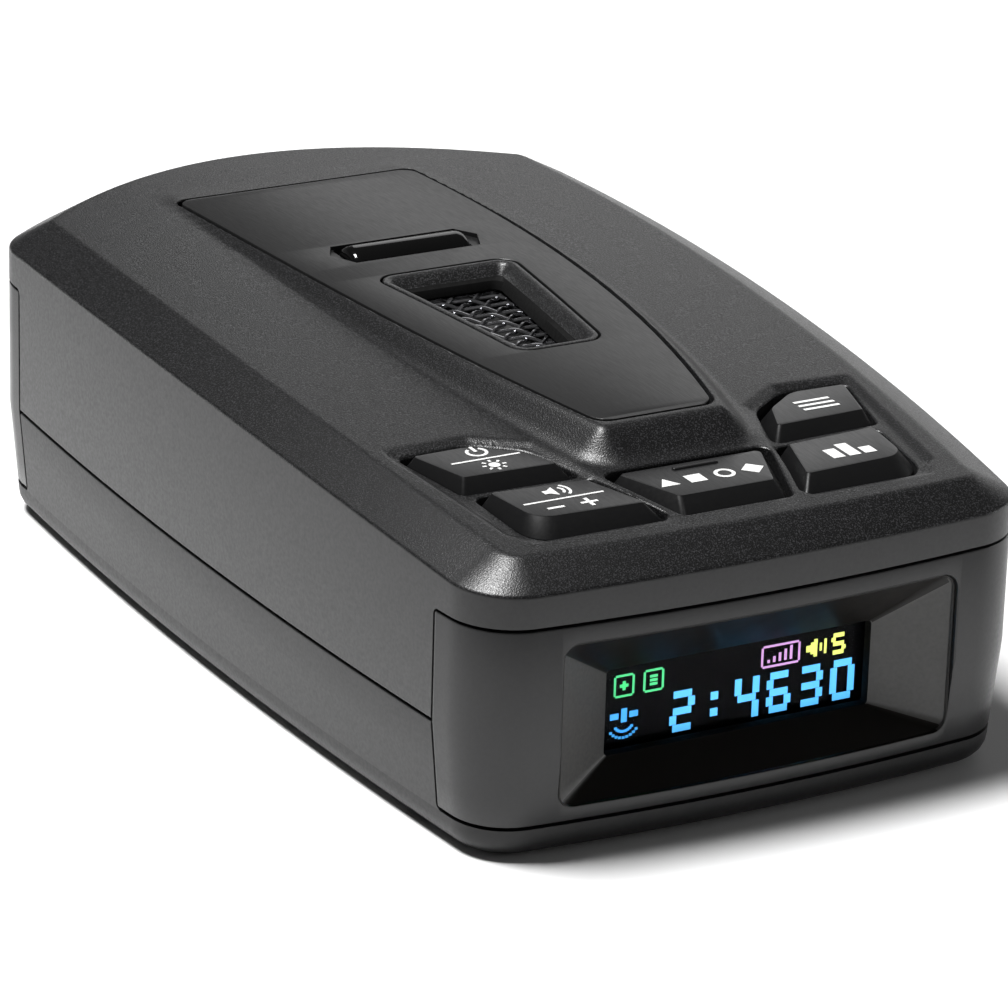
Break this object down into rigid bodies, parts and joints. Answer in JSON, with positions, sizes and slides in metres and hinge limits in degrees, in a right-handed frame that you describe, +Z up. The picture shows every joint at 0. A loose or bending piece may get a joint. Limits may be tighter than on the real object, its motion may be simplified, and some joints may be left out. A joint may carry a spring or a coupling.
{
  "type": "radar detector",
  "caption": "Wedge-shaped dashboard radar detector with a colour display, raised hood with grille and laser sensor, and sprung control keys.",
  "frame": {"origin": "below the middle of the case, on the surface it stands on", "axes": "+Z up, -Y towards the display and the driver, +Y towards the windscreen, +X to the driver's right"},
  "size_m": [0.0676, 0.118, 0.0348],
  "materials": {
    "case_black": "fine sparkle texture on top, satin on the sides",
    "bezel_black": "satin",
    "window_black": "smooth infrared-transparent black",
    "surround_black": "gloss",
    "clear_window": "clear, smoked",
    "display_glass": "lit pixels on black",
    "board_green": "solder mask",
    "ribbon_amber": "polyimide film",
    "plate_brushed": "fine brushed",
    "light_pipe": "dark glossy lens",
    "mesh_wire": "black-painted woven wire",
    "key_black": "brushed tops, gloss skirts",
    "plunger_grey": "moulded",
    "switch_case": "moulded",
    "chip_black": "moulded",
    "capacitor_can": "sleeved can",
    "shield_tin": "tinned",
    "ceramic": "fired ceramic with silver face",
    "cast_metal": "die cast",
    "lens_red": "dark red clear",
    "sensor_black": "moulded",
    "speaker_frame": "painted",
    "speaker_paper": "pressed paper",
    "magnet_zinc": "zinc plated",
    "socket_black": "moulded",
    "screw_steel": "zinc plated"
  },
  "bodies": {
    "root": {"top_shell": "case_black", "bottom_shell": "case_black", "front_bezel": "bezel_black", "rear_window": "window_black", "display_surround": "surround_black", "display_window": "clear_window", "oled_module": "display_glass", "display_board": "board_green", "display_ribbon": "ribbon_amber", "hood_plate": "plate_brushed", "laser_light_pipe": "light_pipe", "grille_frame": "case_black", "grille_mesh": "mesh_wire", "switch_bodies": "switch_case", "switch_board": "board_green", "key_ribbon": "ribbon_amber", "main_board": "board_green", "chips": "chip_black", "capacitors": "capacitor_can", "rf_shield": "shield_tin", "gps_antenna": "ceramic", "horn_antenna": "cast_metal", "laser_lens": "lens_red", "light_sensors": "sensor_black", "speaker_basket": "speaker_frame", "speaker_cone": "speaker_paper", "speaker_magnet": "magnet_zinc", "power_socket": "socket_black", "usb_socket": "shield_tin", "case_screws": "screw_steel", "board_screws": "screw_steel"},
    "power_key": {"power_button": "key_black", "power_plunger": "plunger_grey"},
    "quiet_key": {"quiet_button": "key_black", "quiet_plunger": "plunger_grey"},
    "function_key": {"function_button": "key_black", "function_plunger": "plunger_grey"},
    "city_key": {"city_button": "key_black", "city_plunger": "plunger_grey"},
    "menu_key": {"menu_button": "key_black", "menu_plunger": "plunger_grey"}
  },
  "joints": [
    {"name": "power_press", "type": "slide", "parent": "root", "child": "power_key", "axis": [0, 0, -1], "range_m": [0, 0.0006], "stiffness_N_per_m": 1500},
    {"name": "quiet_press", "type": "slide", "parent": "root", "child": "quiet_key", "axis": [0, 0, -1], "range_m": [0, 0.0006], "stiffness_N_per_m": 1500},
    {"name": "function_press", "type": "slide", "parent": "root", "child": "function_key", "axis": [0, 0, -1], "range_m": [0, 0.0006], "stiffness_N_per_m": 1500},
    {"name": "city_press", "type": "slide", "parent": "root", "child": "city_key", "axis": [0, 0, -1], "range_m": [0, 0.0006], "stiffness_N_per_m": 1500},
    {"name": "menu_press", "type": "slide", "parent": "root", "child": "menu_key", "axis": [0, 0, -1], "range_m": [0, 0.0006], "stiffness_N_per_m": 1500}
  ]
}
